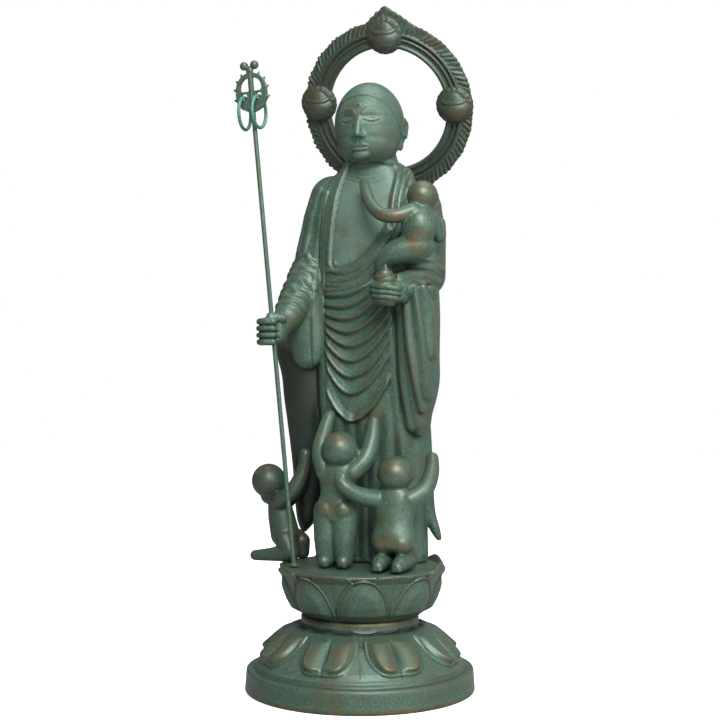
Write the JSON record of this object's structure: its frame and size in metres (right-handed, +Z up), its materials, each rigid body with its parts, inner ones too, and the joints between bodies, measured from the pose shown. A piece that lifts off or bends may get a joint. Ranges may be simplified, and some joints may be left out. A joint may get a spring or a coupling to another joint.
{
  "type": "jizo statue",
  "caption": "Cast bronze statue of a robed, bald figure with a ringed staff, a jewel and a child on its arm, small children at its feet, a ring halo and a lotus base.",
  "frame": {"origin": "centre of the round plinth's underside, on the floor", "axes": "+Z up, the figure faces -Y, +X towards the arm that holds the child"},
  "size_m": [0.102, 0.1024, 0.3046],
  "materials": {
    "patinated_bronze": "speckled green and brown patina, semi-gloss",
    "dark_bronze": "darker brown-green patina, semi-gloss"
  },
  "bodies": {
    "root": {"plinth": "patinated_bronze", "lotus_seat": "patinated_bronze", "jizo_with_child": "patinated_bronze", "child_standing": "patinated_bronze", "child_kneeling": "patinated_bronze", "child_at_staff": "dark_bronze", "halo": "dark_bronze", "staff": "patinated_bronze", "staff_ring_left": "patinated_bronze", "staff_ring_right": "patinated_bronze"}
  },
  "joints": []
}
